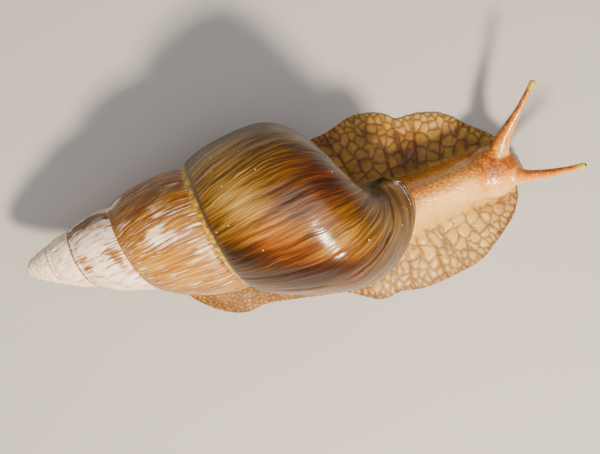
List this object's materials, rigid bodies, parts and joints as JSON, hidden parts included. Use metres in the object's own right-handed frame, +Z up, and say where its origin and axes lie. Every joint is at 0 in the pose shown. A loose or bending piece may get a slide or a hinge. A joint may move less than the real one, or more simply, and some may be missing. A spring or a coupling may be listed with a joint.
{
  "type": "land snail",
  "caption": "Giant African land snail crawling with head and tentacles out, its tall right-handed spiral shell carried over a broad flat foot with wide side lobes; a still life-size model.",
  "frame": {"origin": "middle of the snail's bounding box, on the floor it crawls on", "axes": "+X towards the head, along the picture's width; +Y towards the animal's left side; +Z up from the floor"},
  "size_m": [0.2208, 0.0932, 0.0802],
  "materials": {
    "shell_body_whorl": "glossy olive-brown shell with darker growth streaks",
    "shell_middle_whorls": "satin ochre shell, worn in patches",
    "shell_worn_spire": "matt pinkish-white shell with its outer layer worn off",
    "skin": "moist golden-brown skin with a net of grooves",
    "eye": "glossy dark brown"
  },
  "bodies": {
    "root": {"shell_body_whorl": "shell_body_whorl", "shell_penultimate_whorl": "shell_middle_whorls", "shell_spire_whorl": "shell_worn_spire", "shell_apex": "shell_worn_spire", "shell_lip": "shell_body_whorl", "mantle_collar": "skin", "tail_tip": "skin", "tail_base": "skin", "foot_under_shell": "skin", "foot_lobe_left_rear": "skin", "foot_lobe_left_front": "skin", "foot_lobe_right_rear": "skin", "foot_lobe_right_front": "skin", "foot_sole": "skin", "foot_front": "skin", "neck_root": "skin", "neck_rear": "skin", "neck_front": "skin", "head": "skin", "mouth": "skin", "tentacle_left_base": "skin", "tentacle_left_shaft": "skin", "tentacle_left_tip": "skin", "eye_left": "eye", "lower_tentacle_left": "skin", "tentacle_right_base": "skin", "tentacle_right_shaft": "skin", "tentacle_right_tip": "skin", "eye_right": "eye", "lower_tentacle_right": "skin"}
  },
  "joints": []
}
